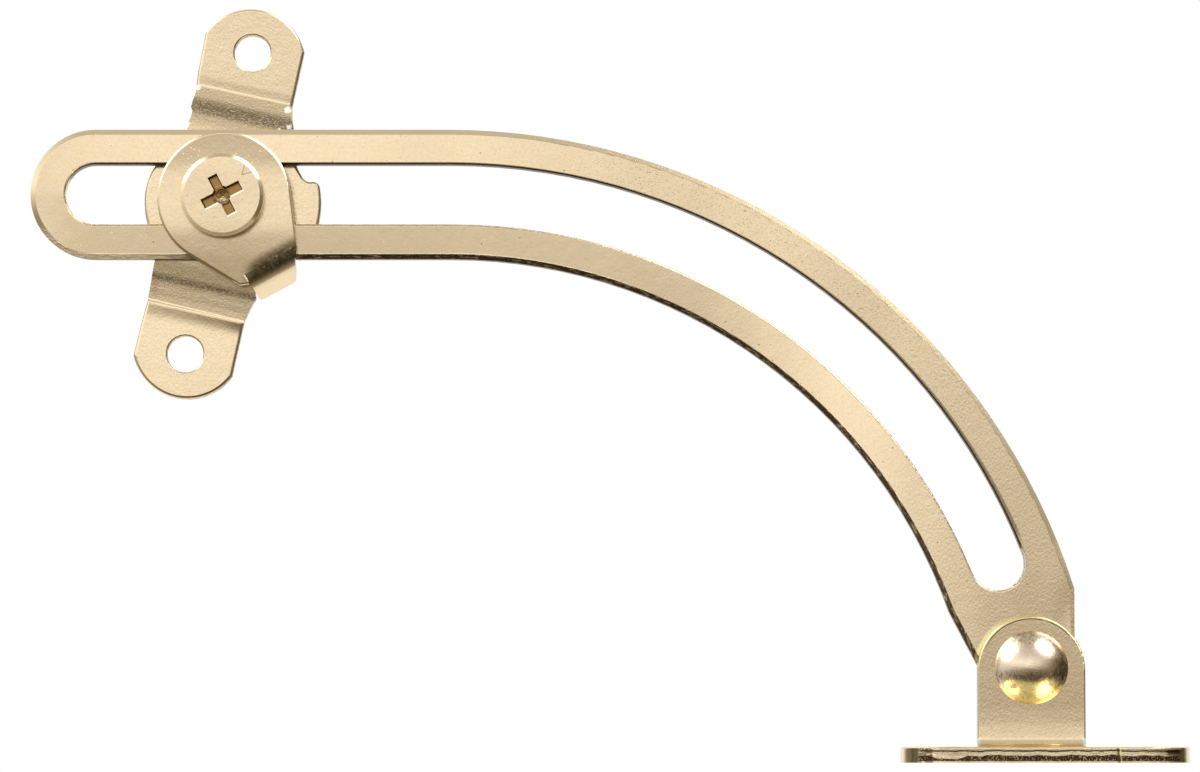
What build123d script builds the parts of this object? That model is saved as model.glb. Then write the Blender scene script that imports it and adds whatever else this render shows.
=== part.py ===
"""Lid stay with an adjustable friction clamp, brass-plated pressed steel.

A curved, slotted arm slides and swivels on a clamp screw.  The screw
pulls a pressure plate and the arm against a joggled case bracket, which
is screwed to the side of the cabinet.  The far end of the arm is riveted
to an L-shaped lid bracket.

Frame (millimetres): X along the straight part of the slot, Z up, the
cabinet side is the plane Y = 0 and the stay stands off it towards -Y.
The origin is the middle of the two screw holes of the case bracket, on
the cabinet side.
"""
from build123d import *
import os
from math import sin, cos, tan, atan2, asin, acos, radians, degrees, hypot, sqrt

os.makedirs("parts", exist_ok=True)

# ----------------------------------------------------------------- dimensions
gap = 0.05                    # running gap between clamped faces

# case bracket (screwed to the cabinet side)
case_tilt = 12.33             # lean of its long axis from vertical
case_t = 1.5                  # sheet thickness
case_pitch = 39.0             # distance between the two screw holes
case_hole_d = 4.6
case_ear_hw = 6.35            # half width of an ear
case_ear_shoulder = 21.0      # where the ear's rounded end starts
case_ear_end = 25.12          # tip of the ear
case_joggle = 3.0             # height of the raised middle above the ears
case_foot_u = 13.75           # where the joggle leaves the ear (front face)
case_crest_u = 10.75          # where it reaches the raised middle
case_lobe_r = 10.0            # left lobe about the screw
case_lug_r = 12.15            # right lug about the screw
case_screw_hole_d = 5.3
case_crest_r, case_foot_r = 2.9, 0.45   # outer radius at the crest, inner radius at the foot
case_roll = 0.36              # softened front edge

# clamp axis
axis_x, axis_z = 0.95, 0.25

# slotted arm
arm_t = 2.0
arm_zc = 0.68                 # centreline of the straight part
arm_hw = 8.14                 # half width of the arm
slot_hw = 3.75                # half width of the slot
arm_left_x = -15.15           # centre of the rounded left end
arc_out = (28.96, -73.23)     # centre of the outer edge's arc
arc_in = (29.43, -73.37)      # centre of the inner edge's arc
arc_slot_out = (29.35, -72.37)
arc_slot_in = (29.68, -73.09)
slot_end = (97.65, -45.55)    # rounded far end of the slot
arm_end_r = 5.60              # rounded end about the rivet
arm_right_x = 107.25          # straight right flank next to the rivet
arm_kink_z = -51.6            # where the inner arc meets the end flank
pivot_x, pivot_z = 101.70, -58.60
arm_pivot_d = 5.1
roll_w, roll_h = 0.62, 0.23   # rolled-over front edge of the blanked arm

slot_roll = 0.3               # rolled-over front edge of the slot

# pressure plate
pp_t = 1.2
pp_r = 8.35
pp_cx, pp_cz = 1.05, 0.12
pp_hole_d = 5.2
fold_x, fold_z = 3.77, -9.44   # left end of the fold line, where the bend starts on the front face
fold_dir = 28.6               # direction of the fold line
fold_angle = 65.0             # how far the tab is bent back
fold_ri = 1.4                 # inside radius of the fold
tab_len = 2.75                # straight length of the tab
pp_roll = 0.28                # softened front edge
tab_right_x = 9.95            # right flank of the tab

# clamp screw, nut and slot bush
screw_d = 4.96
screw_head_d = 10.4
screw_head_h = 2.8
recess_span = 5.3
recess_wing = 1.27
recess_turn = 27.0
recess_depth = 1.25
head_chamfer = 0.45
nut_af = 8.0
nut_h = 2.6
nut_bore = 5.06
bush_d = 6.4
bush_bore = 5.06

# lid bracket
lid_t = 1.95
lid_ear_hw = 6.7
lid_ear_top = -52.18
lid_left_x, lid_right_x = 85.25, 120.65
lid_bottom_z = -70.33
lid_front_y = -20.6
lid_wing_back_y = -9.0
lid_corner_r = 6.0
lid_bend_ri = 1.0
lid_roll = 0.22
lid_hole_x = (91.0, 115.0)
lid_hole_y = -14.8
lid_hole_d = 4.3
lid_csk_d = 7.2

# pivot rivet
rivet_d = 5.0
rivet_head_d = 9.1
rivet_head_h = 2.35
rivet_tail_d = 7.4
rivet_tail_h = 1.1

# ------------------------------------------------- levels (distance from wall)
h_case_front = case_joggle + case_t
h_arm_back = h_case_front + gap
h_arm_front = h_arm_back + arm_t
h_pp_back = h_arm_front + gap
h_pp_front = h_pp_back + pp_t
h_lid_back = h_arm_front + gap
h_lid_front = h_lid_back + lid_t

su, cu = sin(radians(case_tilt)), cos(radians(case_tilt))


def front(h):
    """Plane parallel to the cabinet side, h in front of it, facing -Y."""
    return Plane.XZ.offset(h)


def case_front(h):
    """The same, turned so that its local Y runs along the case bracket."""
    return Plane(origin=(0, -h, 0), x_dir=(cu, 0, -su), z_dir=(0, -1, 0))


def on_arc(c, r, ang):
    """Point on a circle, ang in degrees clockwise from straight up."""
    return (c[0] + r * sin(radians(ang)), c[1] + r * cos(radians(ang)))


def pick(sketch, points):
    """Corners of a sketch at the given local points or their mirrors in local Y."""
    return [p for p in sketch.vertices()
            if any(abs(p.X - a) < 0.01 and abs(abs(p.Y) - b) < 0.01 for a, b in points)]


def shared(faces_a, faces_b):
    """Edges that lie on a face of each group."""
    edges_b = [e for f in faces_b for e in f.edges()]
    found = []
    for f in faces_a:
        for e in f.edges():
            if any(e.is_same(o) for o in edges_b) and not any(e.is_same(o) for o in found):
                found.append(e)
    return found


# the clamp axis in the case bracket's own axes
axis_v = axis_x * cu - axis_z * su
axis_u = axis_x * su + axis_z * cu

# ---------------------------------------------------------------- case bracket
foot_back = case_foot_u - case_t * tan(radians(22.5))
crest_back = case_crest_u - case_t * tan(radians(22.5))
h1, h2 = case_t, case_joggle + case_t
with BuildPart() as case_bracket:
    # bent strip, seen from the side: local X along the bracket, local Y out
    side = Plane(origin=(0, 0, 0), x_dir=(su, 0, cu), z_dir=(cu, 0, -su))
    with BuildSketch(side) as strip:
        with BuildLine():
            Polyline(
                (-case_ear_end - 1, 0), (-foot_back, 0),
                (-crest_back, case_joggle), (crest_back, case_joggle),
                (foot_back, 0), (case_ear_end + 1, 0),
                (case_ear_end + 1, h1), (case_foot_u, h1),
                (case_crest_u, h2), (-case_crest_u, h2),
                (-case_foot_u, h1), (-case_ear_end - 1, h1), close=True)
        make_face()
        fillet([p for p in strip.vertices()
                if abs(abs(p.X) - case_crest_u) < 0.01], case_crest_r)
        fillet([p for p in strip.vertices() if abs(abs(p.X) - crest_back) < 0.01], case_crest_r - case_t)
        fillet([p for p in strip.vertices() if abs(abs(p.X) - case_foot_u) < 0.01], case_foot_r)
        fillet([p for p in strip.vertices() if abs(abs(p.X) - foot_back) < 0.01], case_foot_r + case_t)
    extrude(amount=16, both=True)
    # outline of the blank
    lug_tip = (axis_v + case_lug_r * cos(radians(22.0)), case_lug_r * sin(radians(22.0)))
    right = [(case_ear_hw, 13.80), (6.78, 12.25), (7.38, 10.90), (6.95, 9.60), (8.95, 6.20),
             (9.80, 5.20), (10.60, 4.83), (11.30, 5.05), (11.85, 4.95)]
    left_low = [(-6.22, 16.0), (-6.03, 11.5), (-6.08, 8.0), (-7.20, 5.85)]
    # the upper joggle's left end is pinched in where the metal was bent
    left_up = [(-6.22, 16.0), (-5.96, 13.2), (-5.92, 11.05), (-5.55, 10.40), (-5.66, 9.4), (-6.08, 7.8),
               (-7.20, 5.85)]
    lobe_l = axis_v - case_lobe_r
    with BuildSketch(case_front(-1)) as blank:
        with BuildLine():
            ThreePointArc((-case_ear_hw, case_ear_shoulder), (0, case_ear_end),
                          (case_ear_hw, case_ear_shoulder))
            Polyline((case_ear_hw, case_ear_shoulder), *right, lug_tip)
            ThreePointArc(lug_tip, (axis_v + case_lug_r, 0), (lug_tip[0], -lug_tip[1]))
            Polyline((lug_tip[0], -lug_tip[1]), *[(v, -u) for v, u in reversed(right)],
                     (case_ear_hw, -case_ear_shoulder))
            ThreePointArc((case_ear_hw, -case_ear_shoulder), (0, -case_ear_end),
                          (-case_ear_hw, -case_ear_shoulder))
            Polyline((-case_ear_hw, -case_ear_shoulder), *[(v, -u) for v, u in left_low])
            ThreePointArc((left_low[-1][0], -left_low[-1][1]), (lobe_l, 0), left_up[-1])
            Polyline(*reversed(left_up), (-case_ear_hw, case_ear_shoulder))
        make_face()
        for r, names in ((0.45, [(11.85, 4.95), lug_tip, (11.30, 5.05)]),
                         (0.8, [(10.60, 4.83), (9.80, 5.20)]),
                         (1.5, [(-7.20, 5.85), (case_ear_hw, 13.80), (6.78, 12.25)]),
                         (0.4, [(7.38, 10.90), (-5.92, 11.05), (-5.55, 10.40)]),
                         (1.0, [(6.95, 9.60)]),
                         (3.0, [(-6.08, 8.0), (-6.03, 11.5), (-6.08, 7.8), (-5.96, 13.2)]),
                         (0.5, [(case_ear_hw, case_ear_shoulder), (-case_ear_hw, case_ear_shoulder)])):
            fillet(pick(blank, names), r)
    extrude(amount=8, mode=Mode.INTERSECT)
    # softened front edge of the blank
    walls = [f for f in case_bracket.faces() if abs(f.normal_at().Y) < 0.02]
    fronts = [f for f in case_bracket.faces() if f.normal_at().Y < -0.3]
    fillet(shared(fronts, walls), case_roll)
    # screw holes and the clamp screw's hole
    with BuildSketch(case_front(-1)):
        with Locations((0, case_pitch / 2), (0, -case_pitch / 2)):
            Circle(case_hole_d / 2)
        with Locations((axis_v, axis_u)):
            Circle(case_screw_hole_d / 2)
    extrude(amount=8, mode=Mode.SUBTRACT)
    rims = [e for e in case_bracket.edges().filter_by(GeomType.CIRCLE)
            if abs(e.radius - case_hole_d / 2) < 0.01 and abs(e.center().Y + case_t) < 0.01]
    fillet(rims, 0.2)
case_bracket.part.label = "case_bracket"
export_step(case_bracket.part, "parts/case_bracket.step")

# ----------------------------------------------------------------- slotted arm
z_top, z_bot = arm_zc + arm_hw, arm_zc - arm_hw
r_out = z_top - arc_out[1]
r_in = z_bot - arc_in[1]
r_so = arm_zc + slot_hw - arc_slot_out[1]
r_si = arm_zc - slot_hw - arc_slot_in[1]
out_ang = degrees(asin((arm_right_x - arc_out[0]) / r_out))
in_ang = degrees(acos((arm_kink_z - arc_in[1]) / r_in))
kink = on_arc(arc_in, r_in, in_ang)
end_c = (arm_right_x - arm_end_r, pivot_z)
end_start = (end_c[0] + arm_end_r * cos(radians(3.6)), end_c[1] + arm_end_r * sin(radians(3.6)))
# tangent from the kink to the rounded end, on its lower left side
dx, dz = kink[0] - end_c[0], kink[1] - end_c[1]
dist = hypot(dx, dz)
ang = degrees(atan2(dz, dx)) + degrees(acos(arm_end_r / dist))
tan_pt = (end_c[0] + arm_end_r * cos(radians(ang)), end_c[1] + arm_end_r * sin(radians(ang)))
so_ang = degrees(atan2(slot_end[0] - arc_slot_out[0], slot_end[1] - arc_slot_out[1]))
si_ang = degrees(atan2(slot_end[0] - arc_slot_in[0], slot_end[1] - arc_slot_in[1]))
# the rounded end runs from one slot edge to the other
end_a, end_b = on_arc(arc_slot_out, r_so, so_ang), on_arc(arc_slot_in, r_si, si_ang)
end_dir = ((end_a[0] - end_b[0]) / hypot(end_a[0] - end_b[0], end_a[1] - end_b[1]),
           (end_a[1] - end_b[1]) / hypot(end_a[0] - end_b[0], end_a[1] - end_b[1]))
end_mid = ((end_a[0] + end_b[0]) / 2, (end_a[1] + end_b[1]) / 2)
end_r = hypot(end_a[0] - end_b[0], end_a[1] - end_b[1]) / 2
end_tip = (end_mid[0] + end_r * end_dir[1], end_mid[1] - end_r * end_dir[0])
with BuildPart() as slotted_arm:
    with BuildSketch(front(h_arm_back)):
        with BuildLine():
            Line((arm_left_x, z_top), (arc_out[0], z_top))
            ThreePointArc((arc_out[0], z_top), on_arc(arc_out, r_out, out_ang / 2),
                          on_arc(arc_out, r_out, out_ang))
            Line(on_arc(arc_out, r_out, out_ang), end_start)
            mid = -(360 - ang) / 2
            ThreePointArc(end_start,
                          (end_c[0] + arm_end_r * cos(radians(mid)),
                           end_c[1] + arm_end_r * sin(radians(mid))), tan_pt)
            Line(tan_pt, kink)
            ThreePointArc(kink, on_arc(arc_in, r_in, in_ang / 2), (arc_in[0], z_bot))
            Line((arc_in[0], z_bot), (arm_left_x, z_bot))
            ThreePointArc((arm_left_x, z_bot), (arm_left_x - arm_hw, arm_zc), (arm_left_x, z_top))
        make_face()
    extrude(amount=arm_t)
    # rolled-over front edge of the blank
    face = slotted_arm.faces().sort_by(Axis.Y)[0]
    rolled = face.outer_wire().edges()
    chamfer(rolled, length=roll_w, length2=roll_h, reference=face)
    soft = slotted_arm.faces().sort_by(Axis.Y)[0].outer_wire().edges()
    fillet(soft, 0.25)
    # the straight right flank is sheared square, without a roll
    flank_top = on_arc(arc_out, r_out, out_ang)
    with BuildSketch(front(h_arm_back + 0.8)):
        with BuildLine():
            Polyline(flank_top, end_start, (arm_right_x - 0.9, end_start[1]),
                     (arm_right_x - 0.9, flank_top[1] - 0.18), close=True)
        make_face()
    extrude(amount=arm_t - 0.8)
    # slot and pivot hole
    with BuildSketch(front(h_arm_back - 1)) as slot:
        with BuildLine():
            Line((arm_left_x, arm_zc + slot_hw), (arc_slot_out[0], arm_zc + slot_hw))
            ThreePointArc((arc_slot_out[0], arm_zc + slot_hw),
                          on_arc(arc_slot_out, r_so, so_ang / 2), on_arc(arc_slot_out, r_so, so_ang))
            ThreePointArc(end_a, end_tip, end_b)
            ThreePointArc(on_arc(arc_slot_in, r_si, si_ang), on_arc(arc_slot_in, r_si, si_ang / 2),
                          (arc_slot_in[0], arm_zc - slot_hw))
            Line((arc_slot_in[0], arm_zc - slot_hw), (arm_left_x, arm_zc - slot_hw))
            ThreePointArc((arm_left_x, arm_zc - slot_hw), (arm_left_x - slot_hw, arm_zc),
                          (arm_left_x, arm_zc + slot_hw))
        make_face()
        with Locations((pivot_x, pivot_z)):
            Circle(arm_pivot_d / 2)
    extrude(amount=arm_t + 2, mode=Mode.SUBTRACT)
    face = slotted_arm.faces().sort_by(Axis.Y)[0]
    for wire in face.inner_wires():
        if wire.length > 100:
            fillet(wire.edges(), slot_roll)
    face = slotted_arm.faces().sort_by(Axis.Y)[-1]
    fillet(face.outer_wire().edges(), 0.12)
slotted_arm.part.label = "slotted_arm"
export_step(slotted_arm.part, "parts/slotted_arm.step")

# -------------------------------------------------------------- pressure plate
ft = (cos(radians(fold_dir)), sin(radians(fold_dir)))      # along the fold
fn = (sin(radians(fold_dir)), -cos(radians(fold_dir)))     # outward from it


def fold_pt(s, w):
    """Point s along the fold line and w outward from it."""
    return (fold_x + s * ft[0] + w * fn[0], fold_z + s * ft[1] + w * fn[1])


corner_l = (3.08, -10.88)
ddx, ddz = corner_l[0] - pp_cx, corner_l[1] - pp_cz
dd = hypot(ddx, ddz)
aa = degrees(atan2(ddz, ddx)) - degrees(acos(pp_r / dd))
tan_l = (pp_cx + pp_r * cos(radians(aa)), pp_cz + pp_r * sin(radians(aa)))
fold_len = (10.18 - fold_x) / ft[0]
flank = (pp_cx + sqrt(pp_r ** 2 - (1.0 - pp_cz) ** 2), 1.0)   # where the straight right edge begins
# bent tab: section across the fold, carried along it
fold_plane = Plane(origin=(fold_x, 0, fold_z), x_dir=(fn[0], 0, fn[1]),
                   z_dir=(-ft[0], 0, -ft[1]))
r_i, r_o = fold_ri, fold_ri + pp_t
hc = h_pp_back - fold_ri
fa = radians(fold_angle)
pi_ = (r_i * sin(fa), hc + r_i * cos(fa))
po_ = (r_o * sin(fa), hc + r_o * cos(fa))
td = (cos(fa), -sin(fa))
pi_end = (pi_[0] + tab_len * td[0], pi_[1] + tab_len * td[1])
po_end = (po_[0] + tab_len * td[0], po_[1] + tab_len * td[1])
with BuildPart() as tab:
    with BuildSketch(fold_plane):
        with BuildLine():
            Line((0, h_pp_front), (0, h_pp_back))
            ThreePointArc((0, h_pp_back), (r_i * sin(fa / 2), hc + r_i * cos(fa / 2)), pi_)
            Polyline(pi_, pi_end, po_end, po_)
            ThreePointArc(po_, (r_o * sin(fa / 2), hc + r_o * cos(fa / 2)), (0, h_pp_front))
        make_face()
    extrude(amount=-fold_len)
    # the right flank runs on from the plate's right edge
    with BuildSketch(front(0)):
        with BuildLine():
            Polyline(flank, fold_pt(fold_len, 0), (10.10, -7.00), (tab_right_x, -7.60),
                     (tab_right_x, -14), (15, -14), (15, 1.0), close=True)
        make_face()
    extrude(amount=12, mode=Mode.SUBTRACT)
    # underside kept flat as far as the arm's lower edge
    with BuildSketch(front(h_arm_back)):
        with BuildLine():
            Polyline((-5, arm_zc - arm_hw - 0.1), (15, arm_zc - arm_hw - 0.1), (15, 0), (-5, 0), close=True)
        make_face()
    extrude(amount=h_pp_back - h_arm_back, mode=Mode.SUBTRACT)
    # rounded tip
    tips = [e for e in tab.edges().filter_by(GeomType.LINE)
            if abs(e.length - pp_t) < 0.25 and e.center().Y > -(h_arm_back + 0.6)]
    fillet(tips, 0.7)
with BuildPart() as pressure_plate:
    with BuildSketch(front(h_pp_back)):
        with Locations((pp_cx, pp_cz)):
            Circle(pp_r)
        with BuildLine():
            Polyline((pp_cx, pp_cz), flank, fold_pt(fold_len, 0), fold_pt(0, 0),
                     fold_pt(0, 1.05), fold_pt(-0.16, 1.38), corner_l, tan_l, close=True)
        make_face()
    extrude(amount=pp_t)
    # softened front edge
    rim = [e for e in pressure_plate.edges()
           if abs(e.center().Y + h_pp_front) < 0.01 and abs(e.bounding_box().size.Y) < 0.01
           and abs((e.center().X - fold_x) * fn[0] + (e.center().Z - fold_z) * fn[1]) > 0.05]
    fillet(rim, pp_roll)
    add(tab.part)
    with BuildSketch(front(h_pp_back - 1)):
        with Locations((axis_x, axis_z)):
            Circle(pp_hole_d / 2)
    extrude(amount=pp_t + 2, mode=Mode.SUBTRACT)
pressure_plate.part.label = "pressure_plate"
export_step(pressure_plate.part, "parts/pressure_plate.step")

# ----------------------------------------------------------------- clamp screw
screw_plane = Plane(origin=(axis_x, 0, axis_z), x_dir=(1, 0, 0), z_dir=(0, 0, 1))
h_head = h_pp_front
h_top = h_head + screw_head_h
recess_plane = Plane(origin=(axis_x, -h_top, axis_z), x_dir=(1, 0, 0), z_dir=(0, 1, 0))
with BuildPart() as recess:
    # cross recess: four tapered wings round a deeper tapered core
    with BuildSketch(recess_plane) as cross:
        Rectangle(recess_span, recess_wing, rotation=-recess_turn)
        Rectangle(recess_wing, recess_span, rotation=-recess_turn)
        fillet(cross.vertices().sort_by(lambda p: p.X ** 2 + p.Y ** 2)[0:4], 0.3)
    extrude(amount=recess_depth, taper=7)
    with BuildSketch(recess_plane):
        Circle(1.12)
    extrude(amount=1.95, taper=12)
    with BuildSketch(Plane(origin=(axis_x, -h_top, axis_z), x_dir=(1, 0, 0), z_dir=(0, 0, 1))):
        with BuildLine():
            Polyline((0, 1.9), (0.72, 1.9), (0, 2.3), close=True)
        make_face()
    revolve(axis=Axis((axis_x, 0, axis_z), (0, 1, 0)))
with BuildPart() as clamp_screw:
    with BuildSketch(screw_plane):
        with BuildLine():
            Polyline((0, -h_top), (screw_head_d / 2, -h_top), (screw_head_d / 2, -h_head),
                     (screw_d / 2, -h_head), (screw_d / 2, -0.75), (screw_d / 2 - 0.4, -0.35),
                     (0, -0.35), close=True)
        make_face()
    revolve(axis=Axis((axis_x, 0, axis_z), (0, 1, 0)))
    rim = clamp_screw.edges().filter_by(GeomType.CIRCLE).sort_by(Axis.Y)[0]
    chamfer(rim, head_chamfer)
    foot = [e for e in clamp_screw.edges().filter_by(GeomType.CIRCLE)
            if abs(e.radius - screw_head_d / 2) < 0.01 and abs(e.center().Y + h_head) < 0.01]
    fillet(foot, 0.2)
    add(recess.part, mode=Mode.SUBTRACT)
clamp_screw.part.label = "clamp_screw"
export_step(clamp_screw.part, "parts/clamp_screw.step")

# ------------------------------------------------------------------- clamp nut
with BuildPart() as clamp_nut:
    with BuildSketch(Plane(origin=(axis_x, -(case_joggle - nut_h), axis_z),
                           x_dir=(cu, 0, -su), z_dir=(0, -1, 0))):
        RegularPolygon(nut_af / 2, 6, major_radius=False)
        Circle(nut_bore / 2, mode=Mode.SUBTRACT)
    extrude(amount=nut_h)
    # both faces chamfered at the corners
    with BuildSketch(screw_plane):
        with BuildLine():
            Polyline((0, -(case_joggle + 1)), (nut_af / 2 - 0.1, -case_joggle),
                     (nut_af / 2 + 0.75, -case_joggle + 0.5),
                     (nut_af / 2 + 0.75, -(case_joggle - nut_h) - 0.5),
                     (nut_af / 2 - 0.1, -(case_joggle - nut_h)), (0, -(case_joggle - nut_h) + 1), close=True)
        make_face()
    revolve(axis=Axis((axis_x, 0, axis_z), (0, 1, 0)), mode=Mode.INTERSECT)
clamp_nut.part.label = "clamp_nut"
export_step(clamp_nut.part, "parts/clamp_nut.step")

# ------------------------------------------------------------------- slot bush
with BuildPart() as slot_bush:
    with BuildSketch(Plane(origin=(axis_x, -(h_case_front + 0.03), axis_z),
                           x_dir=(1, 0, 0), z_dir=(0, -1, 0))):
        Circle(bush_d / 2)
        Circle(bush_bore / 2, mode=Mode.SUBTRACT)
    extrude(amount=arm_t + 2 * gap - 0.06)
slot_bush.part.label = "slot_bush"
export_step(slot_bush.part, "parts/slot_bush.step")

# ----------------------------------------------------------------- lid bracket
lid_top_z = lid_bottom_z + lid_t
bend_ro = lid_bend_ri + lid_t
bend_y = -(h_lid_front + lid_bend_ri)
bend_z = lid_top_z + lid_bend_ri
with BuildPart() as lid_bracket:
    with BuildSketch(Plane.XZ.offset(h_lid_back)):
        # ear
        with BuildLine():
            Polyline((pivot_x - lid_ear_hw, lid_ear_top - lid_ear_hw), (pivot_x - lid_ear_hw, bend_z),
                     (pivot_x + lid_ear_hw, bend_z), (pivot_x + lid_ear_hw, lid_ear_top - lid_ear_hw))
            ThreePointArc((pivot_x + lid_ear_hw, lid_ear_top - lid_ear_hw), (pivot_x, lid_ear_top),
                          (pivot_x - lid_ear_hw, lid_ear_top - lid_ear_hw))
        make_face()
    extrude(amount=lid_t)
    # softened front edge of the ear
    ear_face = [f for f in lid_bracket.faces() if f.normal_at().Y < -0.99]
    walls = [f for f in lid_bracket.faces() if abs(f.normal_at().Y) < 0.02 and f.normal_at().Z > -0.5]
    fillet(shared(ear_face, walls), lid_roll)
    # base plate
    with BuildSketch(Plane.XY.offset(lid_bottom_z)) as base:
        with BuildLine():
            Polyline((lid_left_x, lid_front_y), (lid_right_x, lid_front_y),
                     (lid_right_x, lid_wing_back_y), (lid_left_x, lid_wing_back_y), close=True)
        make_face()
        fillet(base.vertices().group_by(Axis.Y)[0], lid_corner_r)
        fillet(base.vertices().group_by(Axis.Y)[-1], 2.5)
        with BuildLine():
            Polyline((pivot_x - lid_ear_hw, lid_wing_back_y - 2), (pivot_x + lid_ear_hw, lid_wing_back_y - 2),
                     (pivot_x + lid_ear_hw, lid_wing_back_y), (pivot_x - lid_ear_hw, lid_wing_back_y),
                     close=True)
        make_face()
    extrude(amount=lid_t)
    with BuildSketch(Plane(origin=(pivot_x - lid_ear_hw, bend_y, bend_z), x_dir=(0, 1, 0), z_dir=(1, 0, 0))):
        # quarter bend between ear and plate
        with BuildLine():
            ThreePointArc((bend_ro, 0), (bend_ro * cos(radians(45)), -bend_ro * sin(radians(45))), (0, -bend_ro))
            Line((0, -bend_ro), (0, -lid_bend_ri))
            ThreePointArc((0, -lid_bend_ri), (lid_bend_ri * cos(radians(45)), -lid_bend_ri * sin(radians(45))),
                          (lid_bend_ri, 0))
            Line((lid_bend_ri, 0), (bend_ro, 0))
        make_face()
    extrude(amount=2 * lid_ear_hw)
    # softened upper edge of the plate
    top_face = [f for f in lid_bracket.faces() if f.normal_at().Z > 0.99 and abs(f.center().Z - lid_top_z) < 0.01]
    sides = [f for f in lid_bracket.faces() if abs(f.normal_at().Z) < 0.02 and f.center().Z < lid_top_z]
    front_sides = [f for f in sides if f.center().Y < lid_wing_back_y - 2]
    fillet(shared(top_face, front_sides), 0.25)
    # rivet hole in the ear
    with BuildSketch(Plane.XZ.offset(h_lid_back - 1)):
        with Locations((pivot_x, pivot_z)):
            Circle(rivet_d / 2)
    extrude(amount=lid_t + 2, mode=Mode.SUBTRACT)
    # countersunk screw holes in the plate
    with Locations(*[(x, lid_hole_y, lid_top_z) for x in lid_hole_x]):
        CounterSinkHole(radius=lid_hole_d / 2, counter_sink_radius=lid_csk_d / 2,
                        depth=lid_t + 1, counter_sink_angle=90)
lid_bracket.part.label = "lid_bracket"
export_step(lid_bracket.part, "parts/lid_bracket.step")

# ---------------------------------------------------------------- pivot rivet
rivet_plane = Plane(origin=(pivot_x, 0, pivot_z), x_dir=(1, 0, 0), z_dir=(0, 0, 1))
dome_r = ((rivet_head_d / 2) ** 2 + rivet_head_h ** 2) / (2 * rivet_head_h)
dome_c = h_lid_front + rivet_head_h - dome_r
half = degrees(asin(rivet_head_d / 2 / dome_r)) / 2
h_tail = h_arm_back - gap
with BuildPart() as pivot_rivet:
    with BuildSketch(rivet_plane):
        with BuildLine():
            ThreePointArc((0, -(h_lid_front + rivet_head_h)),
                          (dome_r * sin(radians(half)), -(dome_c + dome_r * cos(radians(half)))),
                          (rivet_head_d / 2, -h_lid_front))
            Polyline((rivet_head_d / 2, -h_lid_front), (rivet_d / 2, -h_lid_front),
                     (rivet_d / 2, -h_tail), (rivet_tail_d / 2, -h_tail),
                     (rivet_tail_d / 2, -(h_tail - 0.55)), (rivet_tail_d / 2 - 0.9, -(h_tail - rivet_tail_h)),
                     (0, -(h_tail - rivet_tail_h)), (0, -(h_lid_front + rivet_head_h)))
        make_face()
    revolve(axis=Axis((pivot_x, 0, pivot_z), (0, 1, 0)))
pivot_rivet.part.label = "pivot_rivet"
export_step(pivot_rivet.part, "parts/pivot_rivet.step")
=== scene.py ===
import bpy
import math

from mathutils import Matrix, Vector


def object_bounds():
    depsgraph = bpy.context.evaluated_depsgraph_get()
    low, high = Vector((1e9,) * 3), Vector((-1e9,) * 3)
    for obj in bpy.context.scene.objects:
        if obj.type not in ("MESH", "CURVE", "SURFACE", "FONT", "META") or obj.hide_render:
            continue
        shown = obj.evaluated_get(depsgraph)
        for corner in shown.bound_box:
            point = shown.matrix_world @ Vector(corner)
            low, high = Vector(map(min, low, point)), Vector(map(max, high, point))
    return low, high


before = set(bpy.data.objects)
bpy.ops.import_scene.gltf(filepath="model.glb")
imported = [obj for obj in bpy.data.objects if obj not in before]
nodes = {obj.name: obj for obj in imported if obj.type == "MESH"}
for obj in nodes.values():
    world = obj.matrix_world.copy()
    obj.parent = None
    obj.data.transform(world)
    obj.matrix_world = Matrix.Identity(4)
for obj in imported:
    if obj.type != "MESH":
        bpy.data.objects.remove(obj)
cad_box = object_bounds()
MM = 0.001


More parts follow.
